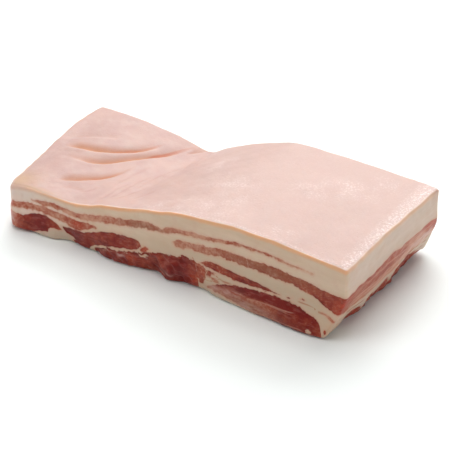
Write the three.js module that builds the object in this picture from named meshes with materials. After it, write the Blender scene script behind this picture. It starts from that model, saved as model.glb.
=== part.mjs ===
// Pork belly slab, skin side up: one piece of meat, cut square at the front, the back and the right.
// Millimetres, +Z up, +X along the slab towards its thick end, the front cut faces -Y.
// The origin is under the middle of the slab's bounding box, on the surface it rests on.
//
// A box lattice is rounded at its edges and then warped. Every function below works in the
// butcher's measure: x from the middle of the front cut, y from the middle of the width, z from
// the surface the slab lies on.
import * as THREE from 'three';

// Size of the cut piece
const LENGTH = 280;                 // front cut, from end to end at the skin
const WIDTH = 130;                  // front cut to back cut
const BLOCK_HEIGHT = 50;            // mean thickness, which the edge radii are measured on

// Edges
const SKIN_EDGE_RADIUS = 2.2;       // the knife leaves the skin edge sharp
const FOOT_RADIUS = 2.6;            // soft lean rolls in under the slab
const FOOT_SOFTNESS = [-0.7, 0.2];  // part of the height over which the upright edges sharpen

// Thickness along the two long cuts, as [x, z] stations of the skin
const FRONT_SKIN = [
  [-142, 33], [-120, 36.4], [-95, 36], [-70, 39.8], [-40, 47], [-10, 53.5],
  [14, 58.9], [45, 61.6], [78, 62.6], [108, 60.6], [129, 59.4], [140, 58.2],
];
const BACK_SKIN = [
  [-156, 38], [-115, 37.4], [-78, 33.3], [-49, 28.0], [-34, 36.0], [-13, 46.0],
  [8, 53.8], [28, 58.7], [62, 59.6], [110, 58.4], [130, 57.8], [140, 56.8],
];
const CROWN = 1.2;                  // doming across the thick half
const CROWN_RAMP = [-30, 40];       // x over which the doming grows

// The two ends in plan, as [y, x] stations: the left one sweeps outward towards the back
const LEFT_END = [
  [-66, -141.5], [-50, -146], [-15, -149], [20, -152.5], [42, -153.2], [66, -150],
];
const RIGHT_END = [[-66, 140], [0, 140.3], [66, 142]];

// The right cut is upright through the back fat and leans in below it
const LEAN_IN = [                   // [y, set-back of the foot]
  [-66, 15], [-52, 14.5], [-42, 14], [-35, 12], [-28, 10.2], [-20, 9.9], [-8, 11], [0, 10.2],
  [8, 9.3], [17, 9.8], [24, 10.8], [34, 11.8], [44, 11.5], [55, 10.3], [66, 8.5],
];
const LEAN_IN_HEIGHT = [36, 28];    // where it starts, at the front and at the back
const LEAN_IN_REACH = [0.55, 1];    // part of the half length that shifts with it
const LEAN_IN_POWER = 1.2;          // how late the lean-in sets in

// Foot of the front cut, as [x, outset] stations: how far it bulges past the skin edge
const FRONT_FOOT = [
  [-142, 1.5], [-134, 3.4], [-127, 2.9], [-120, 1.0], [-112, 0.6], [-102, 0], [-96, -3.0],
  [-89, -4.4], [-82, -3.6], [-74, -2.4], [-67, -2.8], [-58, 0.6], [-50, 0.4], [-40, 1.1],
  [-29, -0.7], [-21, -2.5], [-14, -4.0], [-9, -1.4], [-3, 1.1], [2, -0.2], [8, -3.6],
  [13, -2.6], [17, -1.7], [26, -1.2], [37, 0.6], [48, 1.5], [60, 2.0], [75, 3.0], [87, 3.9],
  [99, 5.4], [107, 6.2], [115, 5.8], [122, 3.9], [128, 3.4],
];
const FOOT_HEIGHT = 22;             // height over which that outset fades
const FOOT_REACH = [0.45, 1];       // part of the half width that shifts with it

// Corner of the underside that curls up off the surface, at the back of the right end
const CURL_HEIGHT = 4;
const CURL_X = [105, 140];
const CURL_Y = [30, 66];

// Muscles that swell out of the front cut: [x, z, half length, half height, swell]
const SWELLS = [
  [-121, 9, 17, 8, 2.2],
  [-55, 14, 26, 7, 1.2],
  [-38, 7, 10, 5, 1.2],
  [4, 13, 17, 9, 2.4],
  [72, 38, 60, 6, 0.5],
  [88, 10, 30, 9, 1.6],
];

// Folds of loose skin over the thin end. Each runs along x with its valley at the [x, y] stations.
const FOLDS = [
  { valley: [[-142, 1], [-118, 4.5], [-104, 11], [-92, 24], [-80, 44]], depth: 1.8 },
  {
    valley: [[-134, -10], [-114, -9], [-100, -5], [-89, 4], [-76, 23], [-62, 52]],
    depth: 2.1,
  },
  {
    valley: [[-124, -46], [-110, -42], [-94, -33], [-86, -26], [-80, -11], [-72, 2]],
    depth: 1.5,
  },
  { valley: [[-150, 13], [-138, 19], [-128, 26], [-112, 31]], depth: 0.7 },
];
const FOLD_FAR_WIDTH = 5;           // gentle slope on the far side of a valley
const FOLD_NEAR_WIDTH = 2.4;        // steep slope on the near side
const FOLD_RIDGE = 0.25;            // height of the ridge in front, as a part of the depth
const FOLD_RIDGE_OFFSET = 4.5;       // distance of that ridge from the valley
const FOLD_TAPER = 0.22;            // part of a fold's length over which each end fades

// Hand-cut waviness of the upright sides
const WAVE_HEIGHT = 0.2;
const WAVE_LENGTHS = [67, 29];

// Lattice: cells along the length, across the width and up the height
const CELLS = [66, 28, 8];
const CROWDING = [0.25, 0.35, 0.3]; // how much closer the cells lie near the edges
const SIDE_POWER = 9;               // odd power that keeps the waviness to the sides

const clamp = THREE.MathUtils.clamp;
const lerp = THREE.MathUtils.lerp;

/** 0 below the first limit, 1 above the second, with a smooth step between them. */
function ease([from, to], value) {
  return THREE.MathUtils.smoothstep(value, from, to);
}

/** Bell curve of height 1 and the given half width. */
function bell(distance, halfWidth) {
  return Math.exp(-((distance / halfWidth) ** 2));
}

/** Smooth curve through [position, value] stations, flat beyond the first and the last. */
function curveThrough(stations) {
  const last = stations.length - 1;
  const slope = (i) => {
    const before = stations[Math.max(i - 1, 0)];
    const after = stations[Math.min(i + 1, last)];
    return (after[1] - before[1]) / (after[0] - before[0]);
  };
  return (position) => {
    const at = clamp(position, stations[0][0], stations[last][0]);
    let i = 0;
    while (i < last - 1 && at > stations[i + 1][0]) i += 1;
    const [x0, y0] = stations[i];
    const [x1, y1] = stations[i + 1];
    const span = x1 - x0;
    const t = (at - x0) / span;
    const s = 1 - t;
    return s * s * (1 + 2 * t) * y0 + t * t * (1 + 2 * s) * y1
      + s * s * t * span * slope(i) - t * t * s * span * slope(i + 1);
  };
}

const frontSkin = curveThrough(FRONT_SKIN);
const backSkin = curveThrough(BACK_SKIN);
const leftEnd = curveThrough(LEFT_END);
const rightEnd = curveThrough(RIGHT_END);
const leanIn = curveThrough(LEAN_IN);
const frontFoot = curveThrough(FRONT_FOOT);
const folds = FOLDS.map(({ valley, depth }) => ({
  valley: curveThrough(valley),
  from: valley[0][0],
  to: valley.at(-1)[0],
  depth,
}));

/** Relief of one skin fold: a valley with a gentle far side, a steep near side and a ridge. */
function foldRelief({ valley, from, to, depth }, x, y) {
  const along = (x - from) / (to - from);
  const strength = ease([0, FOLD_TAPER], along) * ease([0, FOLD_TAPER], 1 - along);
  const run = valley(x + 0.5) - valley(x - 0.5);
  const distance = (y - valley(x)) / Math.hypot(1, run);
  const width = distance > 0 ? FOLD_FAR_WIDTH : FOLD_NEAR_WIDTH;
  const ridge = FOLD_RIDGE * bell(distance + FOLD_RIDGE_OFFSET, FOLD_NEAR_WIDTH);
  return depth * strength * (ridge - bell(distance, width));
}

/** Height of the skin above the surface. */
function skinHeight(x, y) {
  const across = y / WIDTH + 0.5;
  const crown = CROWN * 4 * across * (1 - across) * ease(CROWN_RAMP, x);
  const relief = folds.reduce((sum, fold) => sum + foldRelief(fold, x, y), 0);
  return lerp(frontSkin(x), backSkin(x), across) + crown + relief;
}

/** Height of the underside, which is flat but for the corner that curls up. */
function undersideHeight(x, y) {
  return CURL_HEIGHT * ease(CURL_X, x) * ease(CURL_Y, y);
}

/** How far the front cut stands out at a place on it. */
function frontOutset(x, z) {
  const foot = frontFoot(x) * (1 - ease([0, FOOT_HEIGHT], z));
  const swell = SWELLS.reduce(
    (sum, [cx, cz, halfLength, halfHeight, height]) =>
      sum + height * bell(x - cx, halfLength) * bell(z - cz, halfHeight),
    0,
  );
  return foot + swell;
}

/** How far the right cut stands back at a place on it. */
function rightSetBack(y, z) {
  const start = lerp(...LEAN_IN_HEIGHT, y / WIDTH + 0.5);
  return leanIn(y) * (1 - clamp(z / start, 0, 1)) ** LEAN_IN_POWER;
}

/** Gentle unevenness of a side that was cut by hand. */
function wave(along) {
  return WAVE_LENGTHS.reduce(
    (sum, length) => sum + WAVE_HEIGHT * Math.sin((2 * Math.PI * along) / length),
    0,
  );
}

/** Draws lattice lines together near the edges of the block; -1 and 1 stay where they are. */
function crowd(value, amount) {
  return (1 - amount) * value + amount * Math.sin((value * Math.PI) / 2);
}

/** Rounds the edges of a block, tightly at the skin and softly at the foot. */
function roundBlock(point, half) {
  const radius = lerp(FOOT_RADIUS, SKIN_EDGE_RADIUS, ease(FOOT_SOFTNESS, point.z / half.z));
  const limit = half.clone().subScalar(radius);
  const core = point.clone().clamp(limit.clone().negate(), limit);
  return point.clone().sub(core).setLength(radius).add(core);
}

/** Moves a place on the rounded block to its place on the slab. */
function warp(point, half) {
  const along = point.x / half.x;
  const across = point.y / half.y;
  const up = point.z / half.z / 2 + 0.5;
  let y = point.y;
  let x = lerp(leftEnd(y), rightEnd(y), along / 2 + 0.5);
  const height = up * skinHeight(x, y);
  x -= rightSetBack(y, height) * ease(LEAN_IN_REACH, along);
  x += wave(y + height) * along ** SIDE_POWER;
  y -= frontOutset(x, height) * ease(FOOT_REACH, -across);
  y += wave(x) * across ** SIDE_POWER;
  return new THREE.Vector3(x, y, lerp(undersideHeight(x, y), skinHeight(x, y), up));
}

/** The whole slab as one closed surface. */
function slabGeometry() {
  const half = new THREE.Vector3(LENGTH, WIDTH, BLOCK_HEIGHT).multiplyScalar(0.5);
  const geometry = new THREE.BoxGeometry(2, 2, 2, ...CELLS);
  const position = geometry.getAttribute('position');
  const point = new THREE.Vector3();
  for (let i = 0; i < position.count; i += 1) {
    point.fromBufferAttribute(position, i);
    point.set(crowd(point.x, CROWDING[0]), crowd(point.y, CROWDING[1]), crowd(point.z, CROWDING[2]));
    const place = warp(roundBlock(point.multiply(half), half), half);
    position.setXYZ(i, place.x, place.y, place.z);
  }
  geometry.computeBoundingBox();
  const middle = geometry.boundingBox.getCenter(new THREE.Vector3());
  geometry.translate(-middle.x, -middle.y, -geometry.boundingBox.min.z);
  geometry.computeVertexNormals();
  return geometry;
}

const meat = new THREE.MeshStandardMaterial({ color: 0xe9c7b9, roughness: 0.42, metalness: 0 });
const slab = new THREE.Mesh(slabGeometry(), meat);
slab.name = 'belly_slab';

const porkBelly = new THREE.Group();
porkBelly.add(slab);

export default porkBelly;
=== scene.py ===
"""Raw pork belly slab, skin side up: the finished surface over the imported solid, and its studio.

The slab is one closed surface. A box lattice is rounded at its edges and warped by functions of
place, in the butcher's measure of the part's source: millimetres, x from the middle of the front
cut, y from the middle of the width, z from the surface that the slab lies on. The layers of lean
are sheets that run through the slab, so every cut side shows the same muscles.
"""
import math

import bpy
import numpy as np
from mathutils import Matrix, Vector


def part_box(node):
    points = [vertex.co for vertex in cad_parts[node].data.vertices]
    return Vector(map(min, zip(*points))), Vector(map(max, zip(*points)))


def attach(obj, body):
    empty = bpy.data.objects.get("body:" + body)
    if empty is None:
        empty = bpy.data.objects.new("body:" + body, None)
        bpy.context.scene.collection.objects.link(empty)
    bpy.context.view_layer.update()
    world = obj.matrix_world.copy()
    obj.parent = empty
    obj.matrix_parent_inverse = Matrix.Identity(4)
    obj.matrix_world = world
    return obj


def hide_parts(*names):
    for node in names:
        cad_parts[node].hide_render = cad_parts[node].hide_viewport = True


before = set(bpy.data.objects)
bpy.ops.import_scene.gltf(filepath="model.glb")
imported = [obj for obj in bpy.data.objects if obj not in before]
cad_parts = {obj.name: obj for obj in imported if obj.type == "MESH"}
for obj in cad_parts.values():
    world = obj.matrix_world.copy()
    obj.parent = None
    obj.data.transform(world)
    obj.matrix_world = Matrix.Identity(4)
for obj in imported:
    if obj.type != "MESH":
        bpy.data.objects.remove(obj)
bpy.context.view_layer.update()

MM = 0.001
NODE = "belly_slab"

# ---------- driving sizes, in millimetres
LENGTH = 280.0
WIDTH = 130.0
BLOCK_HEIGHT = 50.0
SKIN_EDGE_RADIUS = 2.2
FOOT_RADIUS = 2.6
FOOT_SOFT_PART = (-0.7, 0.2)    # share of the half height over which the foot's radius changes
LEFT_SOFTNESS = 3.0             # how much softer the front left corner is, and where that grows
LEFT_SOFT_PART = (-0.75, -0.97)
FRONT_SOFT_PART = (0.2, -0.6)

# Height of the skin along the front cut and along the back cut: x, z
FRONT_SKIN = [
    (-142, 33), (-120, 36.4), (-95, 36), (-70, 39.8), (-40, 47), (-10, 53.5),
    (14, 58.9), (45, 61.6), (78, 62.6), (108, 60.6), (129, 59.4), (140, 58.2),
]
BACK_SKIN = [
    (-156, 38), (-115, 37.4), (-78, 33.3), (-49, 28), (-34, 36), (-13, 46),
    (8, 53.8), (28, 58.7), (62, 59.6), (110, 58.4), (130, 57.8), (140, 56.8),
]
# The skin's front edge stands up unevenly: x, rise; y over which that grows
EDGE_RISE = [
    (-142, 1), (-125, 1.4), (-104, 1.7), (-95, 1.5), (-86, 0.6), (-68, 0.8), (-60, 2),
    (-51, 1.6), (-43, 0.9), (-34, 1.1), (-20, 2), (-8, 1.7), (0, 2.2), (8, 1.9), (25, 0.6),
    (41, 0.8), (52, 1.1), (65, 0.6), (88, 0.4), (111, 0.3), (126, 0),
]
EDGE_REACH = (-32, -60)
CROWN = 1.2                     # rise of the skin in the middle of the thick half
CROWN_RAMP = (-30, 40)
# Where the two ends lie: y, x
LEFT_END = [(-66, -141.5), (-50, -146), (-15, -149), (20, -152.5), (42, -153.2), (66, -150)]
RIGHT_END = [(-66, 140), (0, 140.3), (66, 142)]
# How far the right cut's foot stands back: y, set-back; the heights, front and back, below which
# it does; the share of the half length that follows
LEAN_IN = [
    (-66, 15), (-52, 14.5), (-42, 14), (-35, 12), (-28, 10.2), (-20, 9.9), (-8, 11), (0, 10.2),
    (8, 9.3), (17, 9.8), (24, 10.8), (34, 11.8), (44, 11.5), (55, 10.3), (66, 8.5),
]
LEAN_IN_HEIGHT = (36, 28)
LEAN_IN_REACH = (0.55, 1)
LEAN_IN_POWER = 1.2
# How far the front cut's foot stands out: x, outset; the height over which that fades; the share
# of the half width that follows
FRONT_FOOT = [
    (-142, 1.5), (-134, 3), (-127, 2.1), (-120, -0.2), (-112, -0.5), (-102, -0.8), (-96, -3.6),
    (-89, -4.8), (-82, -3.6), (-74, -2.6), (-67, -3.2), (-58, 0), (-50, -0.3), (-40, 0.4),
    (-29, -1.4), (-21, -3.2), (-14, -4.6), (-9, -2), (-3, 0.5), (2, -0.8), (8, -4),
    (13, -3.4), (17, -3.2), (24, -3.8), (30, -2.8), (37, -0.8), (48, 0.9), (60, 1.7),
    (75, 2.6), (87, 3), (99, 4.2), (107, 5), (115, 4.8), (122, 3.6), (128, 3.2),
]
FOOT_HEIGHT = 22
FOOT_REACH = (0.45, 1)
CURL_HEIGHT = 4                 # the back right corner curls up
CURL_X = (105, 140)
CURL_Y = (30, 66)

# Muscles that swell out of the front cut: x, z, half length, half height, swell
SWELLS = [
    (-121, 9, 17, 8, 2.2), (-55, 14, 26, 7, 1.2), (-38, 7, 10, 5, 1.2), (4, 13, 17, 9, 2.4),
    (72, 38, 60, 6, 0.5), (88, 11, 30, 9, 1.5),
]

# Folds of loose skin over the thin end: valley stations (x, y), depth, and the shares of the
# length over which it grows and fades
FOLDS = [
    ([(-142, 2.6), (-130, 4.4), (-118, 7.2), (-107, 11.4), (-97, 18), (-88, 27), (-77, 43)], 1.9,
     (0.22, 0.22)),
    ([(-136, -9), (-122, -9.4), (-111, -8), (-103, -4.5), (-96, 1), (-82, 17), (-70, 34),
      (-60, 56)], 1.9, (0.5, 0.22)),
    ([(-116, -43), (-103, -34.5), (-94, -27.6), (-86, -20), (-79, -8), (-75, 3)], 1.6,
     (0.22, 0.3)),
    ([(-148, 12), (-128, 24), (-108, 32)], 0.7, (0.22, 0.22)),
    ([(-104, -48), (-96, -46.5), (-88, -45.5)], 0.5, (0.22, 0.22)),
    ([(-60, 47), (-54, 60), (-50, 66)], 0.7, (0.22, 0.22)),
]
# How far each fold's painted shade, a warmer and darker colour, shows, first and last
FOLD_SHADES = [(0.9, 1.1), (0.8, 1.1), (0.6, 1.2), (0.1, 0.1), (0.1, 0.1), (0.3, 0.3)]
# Painted shadows of tucks, where a fold closes on itself: the fold, x from first to last, how much
# the shadow shows, and the shares of its length over which it grows and fades
TUCK_SHADOWS = [
    (FOLDS[0], -112, -77, 0.35, (0.5, 0.2)),
    (FOLDS[1], -81, -56, 0.85, (0.2, 0.75)),
    (FOLDS[2], -106, -80, 0.25, (0.5, 0.2)),
]
# The painted shadow along a tuck:
TUCK_SHADOW_REACH = (5.5, 4.2)         # distance from a tuck over which its strength is let go
TUCK_SHADOW_SHIFT = 1.2                # how far its colour lies behind the valley
FOLD_FAR_WIDTH = 5.5
FOLD_NEAR_WIDTH = 1.6
FOLD_RIDGE = 0.25
FOLD_RIDGE_OFFSET = 4.5
FOLD_RIDGE_WIDTH = 2.6
# How far a fold's painted shade reaches
FOLD_SHADE_FAR = (7, 2.6)        # how far a fold's colour reaches on its far side, first and last
FOLD_SHADE_NEAR = 0.9            # and on its near side

WAVE_HEIGHT = 0.2               # unevenness of the four cut sides, and how fast it dies away inside
WAVE_LENGTHS = (67, 29)
SIDE_POWER = 9

# Surface lattice: cells along the length, across the width and up the height
CELLS = (248, 96, 58)
CROWDING = (0.25, 0.35, 0.3)

# Shallow creases across the rise of the skin: valley stations (y, x) and depth
CREASES = [
    ([(-60, -71), (-46, -68), (-32, -68), (-14, -65)], 0.42),
    ([(-56, -62), (-42, -63), (-17, -62), (5, -58)], 0.45),
    ([(-54, -57), (-34, -54), (-12, -48)], 0.36),
    ([(-30, -57), (-5, -56), (12, -54), (40, -45)], 0.36),
    ([(-52, -46), (-38, -42), (-22, -36)], 0.3),
    ([(-34, -74), (-16, -72), (4, -69), (14, -68)], 0.4),
    ([(-50, -89), (-44, -85), (-36, -82)], 0.4),
    ([(46, -60), (54, -57), (62, -52)], 0.4),
]
CREASE_WIDTH = 1.4
CREASE_TAPER = (0.3, 0.3)       # shares of a crease's length over which it grows and fades
# Creases are also painted with shade, fully where they are this deep
CREASE_SHADE_DEPTH = 0.45        # depth of a crease whose colour shows fully

# Small relief as ripples: height and wavelength in mm, seed, and stretch along the width
SMALL_RIPPLES = {
    "skin swells": (0.2, 36, 26, 1),
    "skin": (0.07, 14, 22, 1),
    "fine skin": (0.03, 5, 23, 1),
    "loose lean": (0.45, 6.5, 24, 1),
    "film": (0.15, 4.5, 25, 0.3),
    "cut": (0.1, 9, 21, 1),
}
LEAN_SUNK = 0.3                 # how far lean lies behind fat on a cut
LOOSE_LEAN_SUNK = 0.5           # how much farther where it is loose
UNDER_LEAN_SUNK = 0.35          # and on the underside
LOOSE_RAGGED = (0.9, 1.4)       # raggedness over which lean becomes loose

# ---------- the muscles
# Each streak of lean is a sheet with an upper and a lower outline on the front cut, as (x, z)
# stations. "tone" says how dark its lean is, from 0, pale and greyish, to 1, deep red, at its top,
# and "low_tone" the same below its "middle". "ragged" is how far, in mm, its edge wanders.
STREAKS = {
    "upper": {
        "top": [(-120, 28.2), (-112, 30.3), (-104, 31.5), (-98, 31.4), (-90, 30.7), (-80, 30.6),
                (-74, 31.4), (-68, 32.8), (-60, 35.2), (-50, 37.8), (-44, 38.4), (-36, 39.5),
                (-28, 42), (-21, 43.1), (-13, 42.5), (-8.5, 42), (-6, 41), (-3, 41)],
        "bottom": [(-120, 28), (-112, 27.9), (-102, 27.7), (-90, 27.3), (-78, 26.6), (-71, 27),
                   (-62, 29.6), (-51, 31.8), (-42, 33.1), (-34, 34.6), (-25, 36.9), (-17, 37.9),
                   (-8.5, 38.9), (-6, 39.3), (-3, 39.8)],
        "tone": [(-120, 0.3), (-104, 0.26), (-90, 0.28), (-70, 0.12), (-50, 0.24), (-30, 0.22),
                 (-4, 0.22)], "ragged": 0.6,
    },
    "upper_thin": {
        "top": [(-10, 41.2), (-5, 42.4), (-2, 44.8), (2, 46.4), (8, 47), (17, 47.5), (27, 48.3),
                (37, 49.4), (47, 50.6), (57, 51.7), (65, 51.9), (73, 51.9), (81, 51.5), (88, 50.8),
                (96, 49.7), (104, 48.7), (109, 48.1), (114, 47.7)],
        "bottom": [(-10, 39.2), (-4, 39.8), (2, 41.5), (8, 43.2), (17, 44.2), (27, 45.3),
                   (37, 46.5), (47, 47.7), (57, 49.1), (65, 49.7), (73, 49.8), (81, 49.6),
                   (88, 49.1), (96, 48.3), (104, 47.5), (109, 47.1), (114, 47)],
        "tone": [(-4, 0.22), (5, 0.2), (20, 0.14), (40, 0.22), (60, 0.28), (80, 0.24), (100, 0.12),
                 (112, -0.1)], "ragged": 0.5,
    },
    "second": {
        "top": [(-160, 20.5), (-138.6, 21.8), (-135, 22.8), (-129, 23.9), (-124, 25.2), (-112, 26),
                (-106, 26), (-100, 25.3), (-94, 24.7), (-84, 24.6), (-78, 24.5), (-71.6, 25),
                (-66, 24.5), (-63, 23.4)],
        "bottom": [(-160, 16.2), (-138.6, 17.7), (-129, 19), (-116, 20.5), (-105, 20.7),
                   (-100, 19.8), (-94, 18.6), (-88, 17.1), (-81, 16.5), (-76, 17.6), (-70, 20.2),
                   (-66, 22.3), (-63, 23)],
        "tone": [(-150, 0.3), (-138, 0.24), (-125, 0.28), (-110, 0.24), (-95, 0.32), (-80, 0.44),
                 (-66, 0.4)], "ragged": 0.6,
    },
    "main": {
        "top": [(3.4, 34.2), (6, 36.8), (10, 38.4), (17, 38.9), (25, 39.7), (34, 41), (43, 42.3),
                (53, 42.2), (63, 42), (73, 42.8), (83, 42.6), (91, 42.3), (98, 41.3), (106, 40.3),
                (114, 39.2), (121, 37.8), (129, 37), (142, 36.6)],
        "bottom": [(3.4, 33.6), (6, 31.8), (10, 31.7), (16, 33.4), (25, 34), (34, 34.7), (43, 35.8),
                   (53, 35.2), (63, 35.4), (73, 34.9), (83, 34.2), (91, 34.6), (98, 34.4),
                   (106, 32), (114, 30), (121, 27.2), (127, 24), (134, 21.4), (142, 20.2)],
        "tone": [(3, 0.12), (20, 0.2), (35, 0.28), (50, 0.32), (65, 0.38), (80, 0.46), (95, 0.48),
                 (110, 0.5), (120, 0.66), (130, 0.64), (142, 0.56)], "ragged": 0.6,
    },
    "short": {
        "top": [(24.5, 24.8), (27, 26.6), (33, 29), (39, 28.6), (49, 27.3), (57, 26.2), (65, 25.9),
                (73, 25.2), (79, 23.8), (90, 22.4)],
        "bottom": [(24.5, 24.4), (28, 24), (33, 23.6), (39, 22.8), (46, 21.7), (54, 20.4),
                   (62, 20.9), (70, 21.3), (79, 21.8), (90, 22.2)],
        "tone": [(25, 0.55), (60, 0.66), (92, 0.7)], "ragged": 0.4,
    },
    "left_foot": {
        "top": [(-160, 13.5), (-137, 13.8), (-130, 14.1), (-125, 15), (-121, 17), (-116, 18.2),
                (-110, 19.5), (-106, 18.7), (-103, 17.6), (-100, 16), (-97.7, 13.7), (-95.8, 9.6)],
        "bottom": [(-160, -9), (-128, -7), (-121, 1.5), (-114, 4.6), (-108, 5.8), (-106.2, 6.4),
                   (-105.2, 9.6), (-101, 10.2), (-98, 9.2), (-95.8, 9.4)],
        "tone": [(-150, 0.4), (-138, 0.2), (-131, 0.6), (-120, 0.88), (-112, 0.98), (-105, 0.78),
                 (-96, 0.45)], "ragged": 0.5,
    },
    "middle_foot": {
        "top": [(-94, 13.4), (-88, 14.4), (-83, 15.1), (-76, 15.8), (-69, 18.2), (-61.5, 21),
                (-54, 23.6), (-46, 24.9), (-39, 25.3), (-33, 25.6), (-29, 25.6), (-26, 24.6),
                (-24.5, 21.6)],
        "bottom": [(-94, 12.8), (-92, 8.6), (-88.5, 5.6), (-84.5, 1), (-80, -4), (-74, -4),
                   (-70, 3.8), (-68, 5.6), (-61.5, 9.6), (-53, 12.6), (-46, 13.9), (-39, 15),
                   (-33, 16.2), (-28, 17.8), (-24.5, 21.2)],
        "tone": [(-94, 0.95), (-84, 0.95), (-72, 0.7), (-55, 0.8), (-40, 0.75), (-25, 0.6)],
        "ragged": 0.45,
    },
    "island": {
        "top": [(-25.8, 18.4), (-23, 20.8), (-20.6, 22.6), (-17.9, 21.6)],
        "bottom": [(-25.8, 17.6), (-24, 16.8), (-20.7, 18.4), (-17.9, 21.2)],
        "tone": [(-25, 0.5), (-18, 0.3)], "ragged": 0.3,
    },
    "ragged_foot": {
        "top": [(-66, 3.6), (-62, 6.5), (-57.5, 8.6), (-49.4, 11), (-43.6, 12.4), (-37, 13.2),
                (-32, 14.1), (-28, 15.2), (-23.5, 16.6), (-18, 18.8), (-14.6, 20.3), (-10, 21),
                (-3, 22.8), (4, 23.6), (9, 25.2), (15.7, 25.6), (19, 26.6), (21, 25), (22, 16),
                (22.6, 6), (23, -2)],
        "bottom": [(-66, -4), (14, -9), (23, -9)],
        "tone": [(-66, 0.75), (-50, 0.85), (-40, 0.8), (-34, 0.7), (-26, 0.75), (-14, 0.75),
                 (0, 0.75), (8, 0.95), (14, 0.85), (19, 0.6), (22, 0.5)], "ragged": 1.3,
    },
    "column": {
        "top": [(19.5, 21.5), (24.5, 24), (28, 23.6), (29.8, 19)],
        "bottom": [(19.5, 9.5), (25, 7.6), (27.8, 10.4), (29.8, 17)],
        "tone": [(20, 0.55), (29, 0.35)], "ragged": 1.1,
    },
    "stroke": {
        "top": [(122.5, 20.2), (124, 20.1), (126.5, 19.5), (129, 18.3), (131, 16.9), (132, 16)],
        "bottom": [(122.5, 19.6), (124, 18.7), (126.5, 17.5), (129, 16), (131, 15), (132, 15.6)],
        "tone": [(122, 0.1), (132, 0.25)], "ragged": 0.3,
    },
    "right_foot": {
        "top": [(29, 5), (33, 8.6), (37, 11.2), (44, 13.9), (53, 16.4), (63, 18.3), (70, 19.3),
                (78, 19.4), (88, 20), (97, 19.8), (103, 18.6), (109.5, 16.8), (115, 14.9),
                (120, 12.5), (122.4, 9.2), (123.6, 4), (124.4, 0), (126, -6)],
        "bottom": [(29, 4.6), (34, 5.5), (39, 5), (46, 4.2), (54, 3.2), (64, 2.2), (74, 1),
                   (82, -1.5), (92, -9), (126, -9)],
        "tone": [(33, 0.5), (44, 0.76), (54, 0.95), (62, 1.02), (100, 1), (108, 0.98), (118, 0.9),
                 (126, 0.6)],
        "low_tone": [(33, 0.3), (46, 0.32), (54, 0.4), (66, 0.28), (80, 0.4), (92, 0.74),
                     (104, 0.74), (116, 0.8), (126, 0.6)],
        "middle": [(29, 8), (48, 12), (57, 13), (66, 12.4), (77, 12.8), (90, 13.2), (103, 13.6),
                   (112, 12), (118, 9), (124, 5)], "ragged": 0.55,
    },
}
# On the right cut these sheets follow (y, z) stations of their own
RIGHT_SHEETS = {
    "main": {
        "top": [(-62, 36.3), (-49, 36.8), (-36, 36.3), (-23, 36.7), (-9, 37.8), (2, 38.2),
                (12, 35.8), (28, 35.6), (40, 35), (54, 35.2), (66, 31.8)],
        "bottom": [(-62, 20), (-48, 16.6), (-30, 17.5), (-11, 18.2), (5, 19), (17, 20.6), (30, 21),
                   (45, 20), (66, 19.5)],
        "tone": [(-62, 0.5), (-50, 0.42), (-30, 0.42), (0, 0.46), (16, 0.46), (28, 0.28),
                 (40, 0.34), (54, 0.52), (64, 0.7)],
        "low_tone": [(-62, 0.45), (-48, 0.3), (-20, 0.1), (0, 0.12), (30, 0.02), (66, 0.14)],
        "middle": [(-62, 20), (-54, 23.9), (-43, 28.6), (-33, 26.4), (-27, 27), (-19, 27), (-9, 26),
                   (0, 27), (6, 28.2), (16, 26.4), (26, 25.4), (40, 27), (66, 26)],
        "ragged": [(-62, 0.6), (66, 0.6)],
    },
    "right_foot": {
        "top": [(-62, -6), (-52, -3), (-46, 4), (-41, 8.4), (-36, 8.8), (-30, 7), (-27, 4.6),
                (-23, 9), (-18, 12), (-13, 9.6), (-10, 6), (-6, 11.6), (0, 13.2), (6, 10.4),
                (9, 7.4), (13, 15.4), (22, 17.4), (32, 17.6), (38, 13.6), (44, 12.4), (50, 9),
                (58, 6), (66, 3)],
        "bottom": [(-62, -9), (66, -9)],
        "tone": [(-62, 0.7), (-20, 0.5), (0, 0.45), (20, 0.5), (36, 0.7), (50, 0.5), (66, 0.35)],
        "low_tone": [(-62, 0.55), (-20, 0.55), (20, 0.65), (66, 0.4)],
        "middle": [(-62, 5), (66, 5)],
        "ragged": [(-62, 1.5), (66, 1.5)],
    },
}
CORNER_X = (106, 120)       # x, and distance behind the front cut, over which a sheet goes over
CORNER_Y = (-64, -56)       # to its stations on the right cut
RIGHT_CUT_Y = (-66, -58)    # y over which the fat and the rind take the right cut's colour
TONE_CHANGE = 2.0           # distance from the middle over which the tone changes
MUSCLE_SLANT = 24.0         # how far the muscles run towards -x over the slab's width
DRIFT = (7, 1.4)            # how far, in x and z, they wander inside the slab
DRIFT_LENGTH = 75.0
DRIFT_WIDTH = (0, 0.3)      # share of the width, and depth, over which they begin to wander
DRIFT_DEPTH = (0, 12)
THROUGH_LEFT = -150         # a sheet that starts before this x runs on through the left end
LEFT_RUN = (-100, -140)     # x over which it does so
FAR = 99.0                  # farther than anything lies from anything else

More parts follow.
